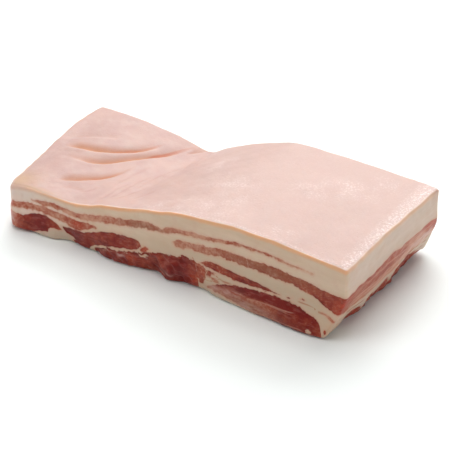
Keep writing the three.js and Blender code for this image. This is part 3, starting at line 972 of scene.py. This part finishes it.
    # --- skin, and the rind that shows as its cut edge
    specks = step(noise(1.4, 2, (1, 1, 1), 0.6), 0.48, 0.66)
    tuck_shadow = calc("ABSOLUTE", calc("SUBTRACT", field("tuck_shadow"), TUCK_SHADOW_SHIFT))
    skin = tinted(
        linear("#bc9b93"),
        ("#c2a197", step(noise(30), 0.35, 0.65)),
        ("#c6aaa2", step(noise(9, 3), 0.4, 0.75), 0.5),
        # paler over the thick half: partly the skin's own tone, partly painted sheen
        ("#c5a79d", field("tone_and_painted_sheen"), 0.7),
        # painted highlights where the skin shines: a whitish glow, and specks of it
        ("#dcc6c0", field("gloss_and_painted_highlight"), 0.38),
        ("#ecdfda", specks, field("gloss_and_painted_highlight")),
        # painted shade in the creases
        ("#b07f72", field("crease_shade"), 0.3),
        # painted shade on the far side of each fold's valley
        ("#b67a56", field("fold")),
        # painted shadow where a fold closes on itself
        ("#a8522d", step(tuck_shadow, 3, 1), field("tuck_shadow_power"), 0.9),
        ("#c4a284", field("tan"), 0.8),
        # painted highlight along the front edge of the skin
        ("#e2ccc2", step(field("depth"), 0, 0.12), field("painted_edge_highlight")),
    )
    # the rind: its own tan, and an orange that is painted glow of light through the skin's edge
    rind_and_glow = tinted(
        linear("#e3ae85"),
        ("#dfbba0", field("right")),
        ("#d2b6a2", field("thin_end"), 0.7),
        ("#cdad9d", field("hidden")),
    )
    ragged_depth = calc("ADD", field("depth"), around(noise(6), 1))
    colour = mix(step(ragged_depth, 1, 4.2), rind_and_glow, cut)
    colour = mix(step(field("depth"), 0.15, 0.6), skin, colour)

    # --- relief that is finer than the mesh: the pores and the grain of the fibres
    on_skin = step(field("depth"), 1.4, 0.4)
    pores = node("ShaderNodeTexVoronoi", {"Vector": scaled(PORE_SPACING, (1, 1, 1)), "Scale": 1})
    pits = step(pores.outputs["Distance"], 0, 0.35)
    ridges = step(walls.outputs["Distance"], 0, 0.3)
    skin_bumps = calc("ADD", times(pits, 0.6), times(noise(1.3, 3), 0.8))
    cut_bumps = calc("ADD", times(ridges, 0.4), times(noise(1.6, 4, (1, 0.3, 1)), 0.8))
    gloss_and_painted_highlight = times(field("gloss_and_painted_highlight"), on_skin)
    height = times(blend(on_skin, cut_bumps, skin_bumps), calc("MULTIPLY_ADD", gloss_and_painted_highlight, 1.2, 1))
    bump = node("ShaderNodeBump", {"Strength": 0.55, "Distance": 0.3 * MM, "Height": height})
    wet = times(is_lean, calc("SUBTRACT", 1, on_skin))
    gloss = blend(gloss_and_painted_highlight, blend(wet, FAT_ROUGHNESS, LEAN_ROUGHNESS), SHINE_ROUGHNESS)

    shader = node("ShaderNodeBsdfPrincipled", {
        "Base Color": colour, "Roughness": gloss, "Subsurface Weight": 0.4,
        "Subsurface Radius": (1, 0.45, 0.3), "Subsurface Scale": 2.5 * MM,
        "IOR": MEAT_IOR, "Specular IOR Level": 0.35, "Normal": bump.outputs[0],
    })
    node("ShaderNodeOutputMaterial", {"Surface": shader.outputs[0]})
    return material


# ---------- studio
# Softboxes: azimuth from the front cut towards +x and elevation in degrees, size in metres, power
SOFTBOXES = {
    "back": (192, 33, (1.7, 1.1), 20),
    "back_left": (212, 52, (1.5, 1.1), 13),
    "overhead": (0, 90, (1.2, 1.2), 12),
    "front_left": (322, 40, (1.0, 0.9), 7),
    "right": (75, 24, (0.9, 0.7), 6),
}
SOFTBOX_DISTANCE = 1.6
ROOM_LIGHT = 0.07
PAPER = (0.88, 0.915, 0.9, 1)
# The camera: azimuth and elevation in degrees, distance and aim in metres, lens in millimetres
VIEW = (32.4, 32.2)
VIEW_DISTANCE = 1.290
AIM = (0.0191, -0.0126, 0.0253)
LENS = 145


def direction(azimuth, elevation):
    """Unit vector from an azimuth and an elevation in degrees; azimuth 0 looks at the front cut."""
    a, e = math.radians(azimuth), math.radians(elevation)
    return Vector((math.sin(a) * math.cos(e), -math.cos(a) * math.cos(e), math.sin(e)))


def studio():
    """A white sweep under large soft lights, the strongest of them high behind the slab."""
    scene = bpy.context.scene
    scene.view_settings.view_transform = "Standard"

    world = bpy.data.worlds.new("white_room")
    world.use_nodes = True
    background = world.node_tree.nodes["Background"]
    background.inputs["Color"].default_value = (1, 1, 1, 1)
    background.inputs["Strength"].default_value = ROOM_LIGHT
    scene.world = world

    bpy.ops.mesh.primitive_plane_add(size=8)
    floor = bpy.context.object
    floor.name = "studio_floor"
    paper = bpy.data.materials.new("white_paper")
    paper.use_nodes = True
    sockets = paper.node_tree.nodes["Principled BSDF"].inputs
    sockets["Base Color"].default_value = PAPER
    sockets["Roughness"].default_value = 0.9
    floor.data.materials.append(paper)

    for name, (azimuth, elevation, size, power) in SOFTBOXES.items():
        light = bpy.data.lights.new(name, "AREA")
        light.shape = "RECTANGLE"
        light.size, light.size_y = size
        light.energy = power
        softbox = bpy.data.objects.new(name, light)
        toward = direction(azimuth, elevation)
        softbox.location = toward * SOFTBOX_DISTANCE
        softbox.rotation_euler = toward.to_track_quat("Z", "Y").to_euler()
        scene.collection.objects.link(softbox)


def camera():
    """A long lens, looking down over the front right corner."""
    back = direction(*VIEW)
    data = bpy.data.cameras.new("camera")
    data.lens, data.sensor_width = LENS, 36
    eye = bpy.data.objects.new("camera", data)
    eye.location = Vector(AIM) + back * VIEW_DISTANCE
    eye.rotation_euler = (-back).to_track_quat("-Z", "Y").to_euler()
    bpy.context.scene.collection.objects.link(eye)
    bpy.context.scene.camera = eye


camera()
studio()
slab = mesh_object("pork_belly", *slab_surface())
slab.data.materials.append(raw_pork())
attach(slab, "root")
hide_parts(NODE)
